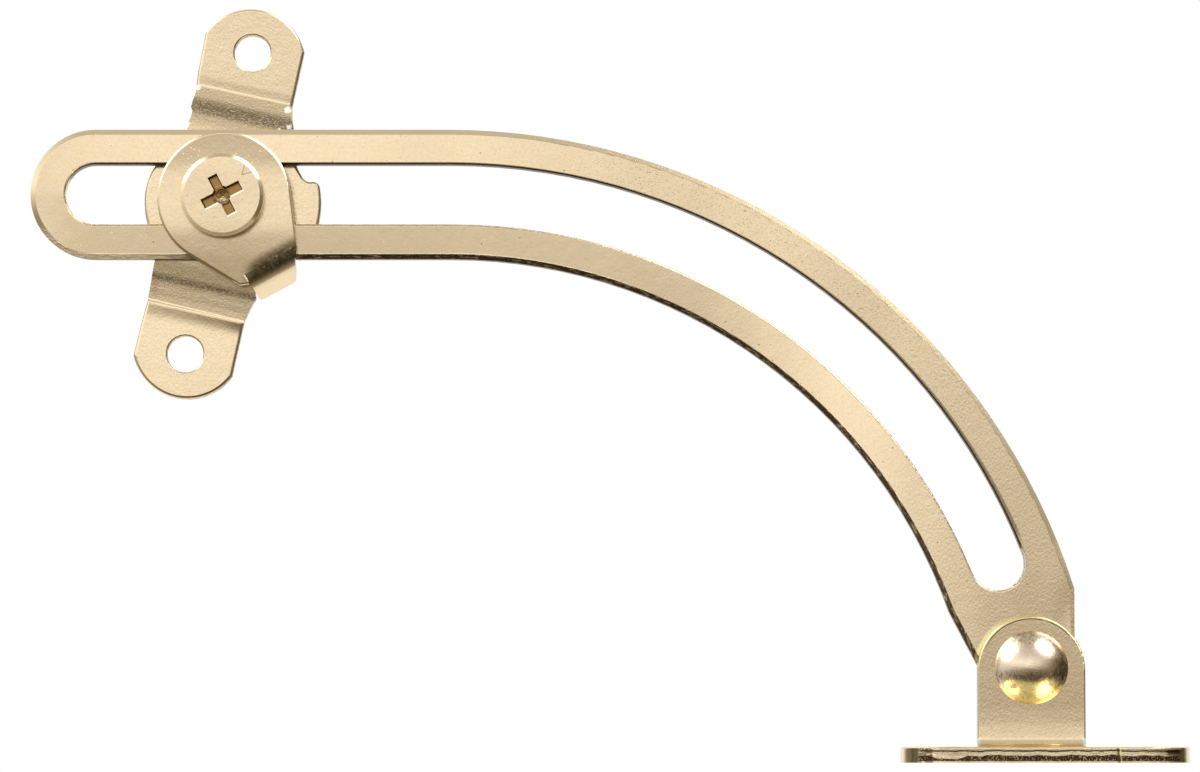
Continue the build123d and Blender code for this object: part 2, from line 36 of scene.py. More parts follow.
# ---------------------------------------------------------------- node helpers
class Tree:
    """Short-hand for writing a material's nodes."""

    def __init__(self, name):
        self.mat = bpy.data.materials.new(name)
        self.mat.use_nodes = True
        self.nt = self.mat.node_tree
        self.nt.nodes.clear()
        self.out = self.nt.nodes.new("ShaderNodeOutputMaterial")
        self.bsdf = self.nt.nodes.new("ShaderNodeBsdfPrincipled")
        self.nt.links.new(self.bsdf.outputs[0], self.out.inputs[0])
        tc = self.nt.nodes.new("ShaderNodeTexCoord")
        self.obj = tc.outputs["Object"]
        self.nrm = tc.outputs["Normal"]

    def link(self, value, socket):
        if isinstance(value, bpy.types.NodeSocket):
            self.nt.links.new(value, socket)
        elif value is not None:
            socket.default_value = value

    def math(self, op, a, b=None, c=None, clamp=False):
        n = self.nt.nodes.new("ShaderNodeMath")
        n.operation = op
        n.use_clamp = clamp
        for i, v in enumerate((a, b, c)):
            if v is not None:
                self.link(v, n.inputs[i])
        return n.outputs[0]

    def xyz(self, vec):
        n = self.nt.nodes.new("ShaderNodeSeparateXYZ")
        self.link(vec, n.inputs[0])
        return n.outputs[0], n.outputs[1], n.outputs[2]

    def combine(self, x, y, z):
        n = self.nt.nodes.new("ShaderNodeCombineXYZ")
        for i, v in enumerate((x, y, z)):
            self.link(v, n.inputs[i])
        return n.outputs[0]

    def map_range(self, v, a, b, c=0.0, d=1.0, smooth=True):
        n = self.nt.nodes.new("ShaderNodeMapRange")
        n.interpolation_type = "SMOOTHSTEP" if smooth else "LINEAR"
        self.link(v, n.inputs["Value"])
        for key, val in (("From Min", a), ("From Max", b), ("To Min", c), ("To Max", d)):
            self.link(val, n.inputs[key])
        return n.outputs[0]

    def noise(self, scale, detail=2.0, rough=0.5, vec=None, distortion=0.0, dims="3D"):
        n = self.nt.nodes.new("ShaderNodeTexNoise")
        n.noise_dimensions = dims
        self.link(vec or self.obj, n.inputs["Vector"])
        n.inputs["Scale"].default_value = scale
        n.inputs["Detail"].default_value = detail
        n.inputs["Roughness"].default_value = rough
        n.inputs["Distortion"].default_value = distortion
        return n.outputs["Fac"]

    def voronoi(self, scale, vec=None, feature="F1"):
        n = self.nt.nodes.new("ShaderNodeTexVoronoi")
        n.feature = feature
        self.link(vec or self.obj, n.inputs["Vector"])
        n.inputs["Scale"].default_value = scale
        return n.outputs["Distance"]

    def scale(self, vec, s):
        n = self.nt.nodes.new("ShaderNodeVectorMath")
        n.operation = "MULTIPLY"
        self.link(vec, n.inputs[0])
        n.inputs[1].default_value = s
        return n.outputs[0]

    def mix(self, fac, a, b):
        n = self.nt.nodes.new("ShaderNodeMix")
        n.data_type = "RGBA"
        self.link(fac, n.inputs[0])
        self.link(a, n.inputs[6])
        self.link(b, n.inputs[7])
        return n.outputs[2]

    def bump(self, height, strength, distance, normal=None):
        n = self.nt.nodes.new("ShaderNodeBump")
        self.link(height, n.inputs["Height"])
        n.inputs["Strength"].default_value = strength
        n.inputs["Distance"].default_value = distance
        if normal is not None:
            self.link(normal, n.inputs["Normal"])
        return n.outputs[0]


def rgb(r, g, b):
    """An sRGB colour from 0 to 255 as a linear one."""
    return tuple(((c / 255) / 12.92 if c / 255 <= 0.04045 else ((c / 255 + 0.055) / 1.055) ** 2.4)
                 for c in (r, g, b)) + (1.0,)


PALE = (0.91, 0.735, 0.49, 1.0)
GREY = (0.88, 0.705, 0.465, 1.0)
GOLD = (0.90, 0.69, 0.40, 1.0)
YELLOW = (0.93, 0.80, 0.38, 1.0)
PINK = (0.80, 0.36, 0.28, 1.0)
DARK = rgb(92, 74, 52)
SOOT = rgb(66, 47, 26)


class Plating(Tree):
    """Thin brass plating over pressed steel; positions are in millimetres in the part's own frame."""

    def __init__(self, name, tint=PALE, rough=0.17, seed=0.0):
        super().__init__(name)
        self.nx, self.ny, self.nz = self.xyz(self.nrm)
        x, y, z = self.xyz(self.obj)
        self.x, self.y, self.z = (self.math("MULTIPLY", v, 1000.0) for v in (x, y, z))
        self.pos = self.combine(self.x, self.y, self.z)
        self.seed = seed
        self.front = self.map_range(self.ny, -0.90, -0.97)       # faces towards the room
        self.wall = self.map_range(self.math("ABSOLUTE", self.ny), 0.35, 0.12)
        self.tx, self.tz = 0.0, 0.0
        self.height = 0.0
        self.bsdf.inputs["Metallic"].default_value = 1.0
        broad = self.grain(self.pos, 0.09, 3, 0.55)
        blotch = self.grain(self.pos, 0.42, 4, 0.6)
        fine = self.grain(self.pos, 2.6, 3, 0.6)
        base = self.mix(self.map_range(broad, 0.35, 0.65), tint, GREY)
        self.base = self.mix(self.times(self.map_range(blotch, 0.5, 0.72), 0.35), base, GOLD)
        self.rough = self.map_range(fine, 0.3, 0.7, rough - 0.03, rough + 0.05, smooth=False)

    def grain(self, vec, scale, detail=3, rough=0.55):
        """Noise with about 1/scale millimetres from lump to lump."""
        n = self.nt.nodes.new("ShaderNodeVectorMath")
        n.operation = "ADD"
        self.link(vec, n.inputs[0])
        n.inputs[1].default_value = (self.seed, self.seed * 0.7, self.seed * 1.3)
        return self.noise(scale, detail, rough, n.outputs[0])

    def times(self, *values):
        out = values[0]
        for v in values[1:]:
            out = self.math("MULTIPLY", out, v)
        return out

    def plus(self, *values):
        out = values[0]
        for v in values[1:]:
            out = self.math("ADD", out, v)
        return out

    def inv(self, value):
        return self.math("SUBTRACT", 1.0, value)

    def hypot(self, a, b):
        return self.math("SQRT", self.plus(self.times(a, a), self.times(b, b)))

    def off(self, value, amount):
        return self.math("SUBTRACT", value, amount)

    def band(self, value, lo, hi, soft):
        """1 between lo and hi, fading out over soft."""
        return self.times(self.map_range(value, lo - soft, lo + soft), self.map_range(value, hi + soft, hi - soft))

    def stops(self, value, points, span=0.1):
        """A signed amount within +-span that follows value through (position, amount) points."""
        n = self.nt.nodes.new("ShaderNodeValToRGB")
        n.color_ramp.interpolation = "EASE"
        low, high = points[0][0], points[-1][0]
        el = n.color_ramp.elements
        while len(el) < len(points):
            el.new(0.5)
        for e, (at, v) in zip(el, points):
            e.position = (at - low) / (high - low)
            c = 0.5 + v / (2 * span)
            e.color = (c, c, c, 1)
        self.link(self.map_range(value, low, high, smooth=False), n.inputs[0])
        return self.math("MULTIPLY", self.math("SUBTRACT", n.outputs[0], 0.5), 2 * span)

    def tint(self, mask, colour):
        self.base = self.mix(mask, self.base, colour)

    def roughen(self, mask, level):
        self.rough = self.plus(self.times(self.inv(mask), self.rough), self.times(mask, level))

    def tilt(self, mask, tx, tz):
        """Lean the surface: a slight waviness of the sheet."""
        self.tx = self.plus(self.tx, self.times(mask, tx))
        self.tz = self.plus(self.tz, self.times(mask, tz))

    def cone(self, mask, degrees, base=None):
        """Turn a rolled rim into an even slope leaning outwards by so many degrees."""
        rho = self.plus(self.hypot(self.nx, self.nz), 0.001)
        a = math.radians(degrees)
        vec = self.combine(self.times(self.math("DIVIDE", self.nx, rho), math.sin(a)), -math.cos(a),
                           self.times(self.math("DIVIDE", self.nz, rho), math.sin(a)))
        n = self.nt.nodes.new("ShaderNodeMix")
        n.data_type = "VECTOR"
        self.link(mask, n.inputs[0])
        self.link(base or self.nrm, n.inputs[4])
        self.link(vec, n.inputs[5])
        return n.outputs[1]

    def lean(self, mask, vec, base=None):
        """Give a small face one even direction."""
        n = self.nt.nodes.new("ShaderNodeMix")
        n.data_type = "VECTOR"
        self.link(mask, n.inputs[0])
        self.link(base or self.nrm, n.inputs[4])
        self.link(vec, n.inputs[5])
        return n.outputs[1]

    def peel(self, scale, detail=2.5, rough=0.6):
        """Orange peel of the plating: even, round lumps."""
        return self.grain(self.scale(self.pos, (1.7, 1.0, 1.0)), scale, detail, rough)

    def lump(self, height, amount):
        """Add relief; amount is in hundredths of a millimetre for a height of 1."""
        self.height = self.plus(self.height, self.times(height, amount))

    def done(self, normal=None):
        self.link(self.base, self.bsdf.inputs["Base Color"])
        self.link(self.rough, self.bsdf.inputs["Roughness"])
        n = self.nt.nodes.new("ShaderNodeVectorMath")
        n.operation = "ADD"
        self.link(normal or self.nrm, n.inputs[0])
        self.link(self.combine(self.tx, 0.0, self.tz), n.inputs[1])
        v = self.nt.nodes.new("ShaderNodeVectorTransform")
        v.vector_type = "NORMAL"
        v.convert_from, v.convert_to = "OBJECT", "WORLD"
        self.link(n.outputs[0], v.inputs[0])
        m = self.nt.nodes.new("ShaderNodeVectorMath")
        m.operation = "NORMALIZE"
        self.link(v.outputs[0], m.inputs[0])
        self.link(self.bump(self.height, 1.0, 0.01 * MM, m.outputs[0]), self.bsdf.inputs["Normal"])
        return self.mat


def nylon(name):
    t = Tree(name)
    broad = t.noise(300, 3, 0.5)
    t.link(t.mix(broad, rgb(226, 220, 205), rgb(208, 200, 182)), t.bsdf.inputs["Base Color"])
    t.link(t.map_range(t.noise(1500, 3), 0.3, 0.7, 0.42, 0.55), t.bsdf.inputs["Roughness"])
    t.bsdf.inputs["Subsurface Weight"].default_value = 0.1
    t.bsdf.inputs["Subsurface Scale"].default_value = 0.001
    t.link(t.bump(t.noise(900, 3), 0.3, 0.02 * MM), t.bsdf.inputs["Normal"])
    return t.mat


def arm_look():
    p = Plating("arm_plating_look", seed=11.0)
    # across the arm (radial), from its centreline; and along it
    dxa, dza = p.off(p.x, 29.2), p.off(p.z, -73.2)
    rho = p.hypot(dxa, dza)
    curved = p.map_range(p.x, 29.1, 29.3)
    across = p.plus(p.times(curved, p.off(rho, 73.9)), p.times(p.inv(curved), p.off(p.z, 0.68)))
    along = p.plus(p.times(curved, p.plus(29.2, p.times(73.9, p.math("ARCTAN2", dxa, dza)))),
                   p.times(p.inv(curved), p.x))
    rx = p.times(curved, p.math("DIVIDE", dxa, rho))
    rz = p.plus(p.times(curved, p.math("DIVIDE", dza, rho)), p.inv(curved))
    outward = p.plus(p.times(p.nx, rx), p.times(p.nz, rz))
    grid = p.combine(along, across, p.y)
    upper = p.map_range(across, -0.5, 0.5)
    lower = p.inv(upper)
    # how the sheet leans, along each limb
    p.tilt(p.times(upper, p.front), 0.0, p.stops(p.x, [(-24, -0.004), (-17, 0.004), (-5, 0.008), (16, 0.010), (30, 0.006), (45, 0.0),
                                                      (53, -0.007), (59.5, -0.004), (65, 0.004), (71, 0.0055), (77, -0.001),
                                                      (82, -0.001), (86, 0.005), (91, 0.001), (98, 0.0), (108, 0.0)]))
    p.tilt(p.times(lower, p.front), 0.0, p.stops(p.x, [(-24, -0.008), (-15, -0.022), (0, -0.026), (22, -0.025), (34, -0.021), (42, -0.020),
                                                      (52, -0.019), (60, -0.017), (65, -0.003), (70, 0.016), (74, 0.030),
                                                      (78, 0.048), (82, 0.046), (88, 0.027), (93, 0.018), (98, 0.004), (108, 0.0)]))
    # orange peel: lumps drawn out across the limb, stronger along the bend
    peel = p.peel(2.6)
    coarse = p.grain(p.scale(grid, (1.0, 0.6, 1.0)), 0.75, 2.0, 0.5)
    amount = p.plus(0.22, p.times(upper, p.map_range(along, 66, 92, 0.0, 0.72)),
                    p.times(lower, p.map_range(along, 35, 70, 0.0, 0.22)), p.times(lower, p.map_range(along, 92, 112, 0.0, 0.55)))
    p.lump(p.times(peel, amount), 1.5)
    p.lump(coarse, 0.6)
    # pits
    pits = p.voronoi(0.55, p.pos)
    small = p.voronoi(1.7, p.pos)
    dust = p.grain(p.scale(grid, (1.0, 1.3, 1.0)), 5.5, 2, 0.6)
    dusty = p.times(p.map_range(dust, 0.62, 0.72), upper, p.band(along, 46, 100, 8))
    pit = p.plus(p.times(p.map_range(pits, 0.07, 0.035), 0.7), p.times(p.map_range(small, 0.10, 0.05), 0.45), p.times(dusty, 0.65))
    p.tint(p.times(pit, p.front, 0.6), DARK)
    p.lump(pit, -1.2)
    # dark fibres of torn metal, and painted shade, on what faces the inside of the bend; gold painted highlights
    # between the fibres
    torn = p.grain(p.scale(grid, (0.5, 2.2, 2.2)), 1.5, 4, 0.7)
    inward = p.map_range(outward, -0.12, -0.26)
    steep = p.map_range(outward, -0.42, -0.62)
    flank = p.times(inward, p.inv(steep), lower)
    bend = p.map_range(p.x, -9, 5)
    p.tint(p.times(flank, p.map_range(torn, 0.32, 0.50), p.plus(0.20, p.times(bend, 0.68))), SOOT)
    p.tint(p.times(flank, p.inv(p.map_range(torn, 0.34, 0.48)), 0.7), GOLD)
    # painted shade: the steep inward faces, and the inward faces of the upper limb, darkened
    p.tint(p.times(inward, steep, 0.85), SOOT)
    p.tint(p.times(inward, upper, p.map_range(p.x, -18.0, -13.0), 0.80), SOOT)
    p.roughen(inward, 0.34)
    p.lump(p.times(torn, inward), 7.0)
    # raised bright line where the rolled lower edge begins
    lip = p.times(p.band(across, -7.62, -7.42, 0.06), p.map_range(torn, 0.25, 0.4), p.front)
    p.tilt(lip, 0.0, 0.05)
    # rolled upper edge: a little rougher, with painted shade making it duller, and a fine line of painted shade on its
    # inner side
    rim = p.times(p.map_range(outward, 0.12, 0.26), p.inv(p.map_range(outward, 0.5, 0.75)), upper)
    p.roughen(rim, 0.20)
    p.lump(p.times(torn, rim), 0.9)
    p.tint(p.times(rim, p.map_range(along, 30, 75, 0.15, 0.65)), (0.62, 0.49, 0.31, 1.0))
    p.tint(p.times(p.band(across, 7.47, 7.53, 0.05), p.front, 0.5), DARK)
    # burr on the slot's lower edge
    burr = p.times(p.map_range(outward, 0.15, 0.4), lower)
    p.lump(p.times(p.grain(p.scale(grid, (0.8, 2.0, 2.0)), 2.0, 3, 0.7), burr), 6.0)
    # painted reflection of the riveted ear in the arm: a yellow band round its upper left, tilted upwards
    ear = p.hypot(p.off(p.x, 101.7), p.off(p.z, -58.88))
    painted_ear_reflection = p.times(p.band(ear, 6.4, 7.10, 0.20), p.map_range(p.x, 99.5, 96.2), p.map_range(p.z, -60.5, -58), p.front)
    p.tint(p.times(painted_ear_reflection, 0.8), YELLOW)
    p.tilt(painted_ear_reflection, 0.0, 0.045)
    # the roll dies out before the right flank
    dying = p.times(rim, p.map_range(p.z, -40.0, -47.5), 0.9)
    # shaded side of the slot's upper edge
    inner = p.times(p.band(across, 3.64, 3.98, 0.08), upper, p.map_range(p.z, -43.5, -41.0), p.map_range(p.x, -16.5, -14.5))
    p.tint(p.times(inner, 0.62), DARK)
    # on the left end the lower roll is worn nearly flat
    vec = p.lean(dying, (0.02, -0.9997, -0.012))
    vec = p.lean(p.times(flank, p.inv(bend)), (0.0, -0.9985, -0.055), vec)
    # burr at the end of the slot, with a painted highlight on it
    tip = p.times(p.map_range(p.hypot(p.off(p.x, 97.65), p.plus(p.z, 45.55)), 5.2, 4.8), p.band(p.z, -48.0, -43.6, 0.3))
    burr_glints = p.times(tip, p.map_range(p.nx, -0.15, -0.35), p.map_range(torn, 0.30, 0.42))
    p.tint(burr_glints, (0.96, 0.86, 0.68, 1.0))
    # the sheet leans away beside the right flank; bright dust on the left part
    p.tilt(p.times(p.map_range(p.x, 103.8, 107.0), p.map_range(p.z, -45.0, -50.0), p.front), 0.0, -0.016)
    spark = p.times(p.map_range(p.voronoi(1.2, p.pos), 0.11, 0.06), p.front, p.map_range(p.x, 60, 10))
    p.tilt(p.times(spark, lower), 0.0, 0.045)
    return p.done(p.lean(burr_glints, (0.0, -1.0, 0.03), vec))


def case_look():
    p = Plating("bracket_plating_look", seed=23.0)
    su, cu = math.sin(math.radians(12.33)), math.cos(math.radians(12.33))
    u = p.plus(p.times(p.x, su), p.times(p.z, cu))
    v = p.off(p.times(p.x, cu), p.times(p.z, su))
    grid = p.combine(v, u, p.y)
    p.tilt(p.times(p.front, p.band(u, -26, -15.8, 0.6)), 0.0, 0.022)
    p.tilt(p.times(p.front, p.band(u, 14.2, 26, 0.6)), 0.0, p.stops(u, [(14, -0.018), (18, -0.016), (22, -0.020), (25, -0.024)]))
    p.tilt(p.times(p.front, p.band(u, -7.5, 8.9, 0.03)), 0.0, p.stops(u, [(-8, 0.010), (7.0, 0.010), (8.2, -0.012), (9.5, -0.03)]))
    p.tilt(p.times(p.band(u, -8.90, -7.0, 0.03), p.front), 0.0, p.stops(u, [(-9.9, -0.080), (-8.9, -0.060), (-8.2, -0.040), (-7.0, -0.010)]))
    p.lump(p.peel(2.6, 3.0), 1.25)
    p.lump(p.grain(grid, 0.7, 2.0), 0.9)
    sparks = p.times(p.map_range(p.voronoi(1.9, p.pos), 0.10, 0.05), p.band(u, 6.0, 11.3, 0.5))
    p.tilt(sparks, 0.0, 0.07)
    pit = p.map_range(p.voronoi(1.1, p.pos), 0.09, 0.04)
    p.tint(p.times(pit, p.front, 0.35), DARK)
    # roughened metal at the crests with darker speckle: painted shade on the lower crest, a darker speckled band on the
    # upper one
    speck = p.grain(p.scale(grid, (1.1, 1.4, 1.0)), 3.6, 4, 0.75)
    top_crest = p.times(p.band(u, 10.3, 12.3, 0.5), p.map_range(speck, 0.38, 0.55))
    p.tint(p.times(top_crest, 0.70), DARK)
    p.roughen(p.band(u, 10.0, 12.6, 0.5), 0.27)
    p.lump(p.times(speck, p.band(u, 9.6, 13.0, 0.6)), 1.6)
    # painted shade: darker speckle on the lower crest
    low_crest = p.times(p.band(u, -11.2, -10.5, 0.3), p.map_range(speck, 0.40, 0.55))
    p.tint(p.times(low_crest, 0.65), DARK)
    p.lump(p.times(speck, p.band(u, -12.6, -9.8, 0.5)), 1.6)
    # double crease at the foot of the lower joggle, with a soft hollow below it
    facing = p.map_range(p.ny, -0.25, -0.4)
    low_slope = p.times(p.band(u, -14.15, -8.90, 0.03), facing)
    low_lean = p.stops(u, [(-14.2, -0.020), (-13.4, -0.026), (-12.7, -0.036), (-12.0, -0.050), (-11.4, -0.070), (-10.9, -0.094),
                           (-10.4, -0.088), (-9.9, -0.080), (-8.8, -0.058)], span=0.2)
    top_slope = p.times(p.band(u, 8.90, 14.0, 0.03), facing)
    top_lean = p.stops(u, [(8.8, -0.024), (10.0, -0.034), (10.9, -0.06), (11.5, -0.078), (12.1, -0.070), (12.8, -0.056), (14.0, -0.040)], span=0.25)
    vec = p.lean(low_slope, p.combine(0.0, -1.0, low_lean))
    vec = p.lean(top_slope, p.combine(0.0, -1.0, top_lean), vec)
    ridge = p.off(u, p.plus(-13.86, p.times(p.off(6.0, v), 0.0175)))
    p.tilt(p.band(ridge, -0.07, 0.07, 0.04), 0.0, 0.085)
    p.tilt(p.band(u, -14.10, -13.95, 0.04), 0.0, 0.075)
    hollow = p.times(p.map_range(u, -14.20, -14.35), p.map_range(u, -16.0, -14.5))
    p.tilt(hollow, 0.0, p.stops(v, [(-8, -0.030), (-3, -0.045), (3, -0.065), (7, -0.11)], span=0.2))
    # crease at the foot of the upper joggle
    p.tilt(p.times(p.band(u, 14.15, 14.3, 0.06), p.front), 0.0, 0.05)
    p.tilt(p.times(p.band(u, 14.3, 15.3, 0.3), p.front), 0.0, -0.02)
    # painted glints at the ends of the upper bends: ragged near-white spots, tilted upwards
    for sv, su_, tx, tz, r in ((5.95, 13.35, 0.0, 0.14, 0.42), (6.70, 11.10, 0.0, 0.16, 0.30), (5.60, 10.55, 0.0, 0.14, 0.20), (-5.75, 13.75, 0.0, 0.12, 0.32)):
        ragged = p.plus(p.hypot(p.off(v, sv), p.off(u, su_)), p.times(p.off(speck, 0.5), 0.9))
        painted_glint = p.times(p.map_range(ragged, r + 0.08, r - 0.12), p.inv(p.wall))
        p.tilt(painted_glint, tx, tz)
        p.tint(p.times(painted_glint, 0.8), (0.99, 0.96, 0.88, 1.0))
    # a smear of red on the lower joggle
    smear = p.times(p.band(v, -5.7, -5.1, 0.35), p.band(u, -13.0, -11.0, 0.7), p.map_range(speck, 0.3, 0.5))
    p.tint(p.times(smear, 0.55), PINK)
    # torn metal on the sheared walls
    torn = p.grain(p.scale(grid, (1.0, 1.0, 0.5)), 2.0, 4, 0.7)
    p.tint(p.times(p.wall, p.map_range(torn, 0.42, 0.60), 0.7), DARK)
    p.roughen(p.wall, 0.40)
    p.lump(p.times(torn, p.wall), 5.0)
    return p.done(vec)


def lid_look():
    p = Plating("lid_bracket_plating_look", seed=37.0)
    p.lump(p.times(p.peel(2.9, 3.0), p.inv(p.map_range(p.nz, 0.5, 0.9))), 1.4)
    p.lump(p.grain(p.pos, 0.7, 2.0), 0.7)
    pit = p.map_range(p.voronoi(1.3, p.pos), 0.10, 0.04)
    p.tint(p.times(pit, p.front, 0.6), DARK)
    # painted reflection: faces turned upwards are tinted yellow, for the gold they show in the dome
    p.tint(p.times(p.map_range(p.nz, 0.6, 0.9), 0.9), YELLOW)
    face = p.times(p.front, p.map_range(p.y, -9.5, -9.0))
    # the ear swells towards its bend
    p.tilt(face, 0.0, p.stops(p.z, [(-70, 0.05), (-67.3, 0.05), (-66.3, 0.035), (-64.8, 0.012), (-63, 0.0), (-52, 0.0)]))
    # painted shade: a fine dark line inside the rolled rim over the top of the ear
    ear = p.hypot(p.off(p.x, 101.7), p.off(p.z, -58.88))
    ang = p.math("ARCTAN2", p.off(p.x, 101.7), p.off(p.z, -58.88))
    dash = p.grain(p.pos, 1.1, 3, 0.6)
    line = p.times(p.band(ear, 6.30, 6.42, 0.05), p.band(ang, -1.05, 0.95, 0.2), p.map_range(dash, 0.30, 0.42), p.map_range(p.y, -8.0, -8.1))
    p.tint(p.times(line, 0.9), SOOT)
    p.roughen(line, 0.5)
    # painted highlight: the lit outer edge of the rim tinted yellow
    rim = p.times(p.map_range(ear, 6.40, 6.48), p.map_range(p.z, -60, -58), p.map_range(p.y, -12.0, -11.0))
    p.tint(p.times(rim, 0.8), YELLOW)
    # sheared front edge of the plate: rolled top, burnished band, torn band
    edge = p.times(p.map_range(p.y, -14.5, -14.8), p.map_range(p.nz, 0.55, 0.25))
    run = p.scale(p.pos, (0.55, 1.0, 2.4))
    wave = p.grain(p.scale(p.pos, (0.45, 0.2, 0.0)), 1.0, 3, 0.6)
    torn = p.grain(run, 2.2, 4, 0.75)
    flecks = p.grain(p.scale(p.pos, (2.0, 1.0, 1.3)), 2.6, 3, 0.7)
    rise = p.times(p.band(p.x, 88.7, 92.6, 0.5), 0.36)
    zz = p.plus(p.z, p.times(p.off(wave, 0.5), 0.7), rise)
    mid = p.times(edge, p.band(p.x, 86.9, 119.2, 0.25))
    thin = p.times(edge, p.band(p.plus(p.z, p.times(p.off(wave, 0.5), 0.35)), -68.98, -68.80, 0.05), p.band(p.x, 87.2, 119.0, 0.4))
    p.tint(p.times(thin, p.map_range(torn, 0.30, 0.45), 0.9), SOOT)
    p.tilt(thin, 0.0, -0.06)
    bright = p.times(mid, p.band(zz, -69.44, -69.02, 0.05))
    p.tilt(p.times(bright, p.map_range(flecks, 0.36, 0.52)), 0.0, 0.10)
    p.tilt(p.times(bright, p.inv(p.map_range(flecks, 0.36, 0.52))), 0.0, -0.02)
    low = p.times(mid, p.map_range(zz, -69.42, -69.50), p.map_range(p.z, -70.16, -70.08))
    p.tint(p.times(low, p.map_range(flecks, 0.34, 0.48), 0.95), SOOT)
    p.tint(p.times(low, p.inv(p.map_range(flecks, 0.36, 0.46)), 0.8), GOLD)
    p.tilt(low, 0.0, -0.10)
    p.tilt(p.times(edge, p.map_range(p.z, -70.10, -70.18)), 0.0, 0.10)
    p.tilt(p.times(edge, p.map_range(p.z, -68.78, -68.72), p.band(p.x, 88.4, 91.0, 0.3)), 0.0, 0.05)
    # painted shading of rounded ends: a grey stripe on the left, a dark one on the right
    p.tint(p.times(edge, p.band(p.x, 86.2, 87.1, 0.12), 0.75), rgb(150, 140, 112))
    p.tint(p.times(edge, p.band(p.x, 87.1, 88.7, 0.15), p.map_range(torn, 0.36, 0.50), 0.8), SOOT)
    p.tint(p.times(edge, p.band(p.x, 117.3, 119.2, 0.25), p.map_range(p.z, -69.6, -69.1), p.map_range(p.z, -68.72, -68.82), 0.9), rgb(44, 44, 40))
    p.tint(p.times(edge, p.band(p.x, 119.1, 119.5, 0.25), 0.45), rgb(176, 140, 96))
    p.roughen(low, 0.34)
    p.lump(p.times(torn, mid), 5.0)
    p.lump(p.times(flecks, mid), 2.5)
    # a nick in the front edge, with painted shade beside it and a painted highlight on it
    across = p.plus(p.x, p.times(p.z, 0.1))
    p.tint(p.times(edge, p.band(across, 104.25, 104.55, 0.10), 0.85), rgb(120, 92, 40))
    nick = p.times(edge, p.band(across, 104.62, 104.80, 0.06))
    p.tint(p.times(nick, 0.8), YELLOW)
    p.tilt(nick, 0.06, 0.10)
    # foot of the ear: dotted bright line, then a golden bend (painted reflection) with painted highlights at its
    # corners
    foot = p.map_range(p.y, -8.0, -8.1)
    foot = p.times(foot, p.inv(edge), p.map_range(p.ny, -0.3, -0.5))
    dots = p.map_range(p.grain(p.scale(p.pos, (2.2, 1.0, 1.0)), 1.2, 2, 0.6), 0.40, 0.52)
    p.tilt(p.times(foot, p.band(p.z, -67.36, -67.24, 0.06), dots), 0.0, 0.03)
    p.tint(p.times(foot, p.band(p.z, -68.55, -67.42, 0.04), 0.8), (0.88, 0.68, 0.40, 1.0))
    corner = p.times(foot, p.band(p.z, -68.4, -67.3, 0.15), p.plus(p.map_range(p.x, 107.8, 108.1), p.map_range(p.x, 95.5, 95.2)))
    p.tint(corner, (0.95, 0.90, 0.78, 1.0))
    p.tilt(corner, 0.0, 0.08)
    walls = p.times(p.wall, p.map_range(p.y, -14.0, -13.5), p.inv(p.map_range(p.nz, 0.5, 0.8)))
    p.tint(p.times(walls, p.map_range(torn, 0.45, 0.60), 0.6), DARK)
    p.lump(p.times(torn, walls), 4.0)
    return p.done()


def plate_look():
    p = Plating("plate_plating_look", seed=41.0)
    p.lump(p.peel(3.0, 3.0), 0.55)
    p.lump(p.grain(p.pos, 0.7, 2.0), 0.7)
    flat = p.times(p.front, p.map_range(p.y, -7.70, -7.78))
    p.tilt(flat, 0.0, p.stops(p.z, [(-12, -0.050), (-8, -0.046), (-5.5, -0.034), (-2.5, 0.002), (0, 0.006), (2.5, 0.002),
                                    (5.5, -0.034), (9, -0.044)]))
    # bright grains on its upper half
    sparks = p.times(p.map_range(p.voronoi(1.35, p.pos), 0.16, 0.09), flat, p.map_range(p.z, 2.5, 5.0))
    p.tilt(sparks, 0.0, 0.075)
    torn = p.grain(p.pos, 2.4, 4, 0.7)
    p.tint(p.times(p.wall, p.map_range(torn, 0.45, 0.60), 0.55), DARK)
    p.roughen(p.wall, 0.32)
    p.lump(p.times(torn, p.wall), 3.5)
    # bright rolled rim, except along the fold
    fold = p.off(p.times(p.off(p.x, 3.77), 0.4787), p.times(p.off(p.z, -9.44), 0.878))
    rim = p.times(p.band(p.ny, -0.97, -0.22, 0.015), p.map_range(fold, 0.0, -0.05), p.map_range(p.y, -7.40, -7.45))
    # the sheet dips before the fold, with painted shade along the fold
    dip = p.times(p.band(fold, -1.0, 1.4, 0.6), p.map_range(p.ny, -0.62, -0.78))
    p.tilt(p.times(dip, p.map_range(p.x, 3.0, 5.5)), 0.0, -0.07)
    p.tint(p.times(p.band(fold, -0.6, 1.25, 0.5), p.map_range(p.ny, -0.5, -0.65), p.map_range(torn, 0.3, 0.6), p.map_range(p.x, 3.5, 5.5), 0.7), SOOT)
    return p.done(p.cone(rim, 31))


RECESS_SPAN, RECESS_WING, RECESS_TURN = 5.3, 1.27, 27.0
DROP = [(3.892, 4.226), (4.806, 3.112), (3.45, 2.725)]


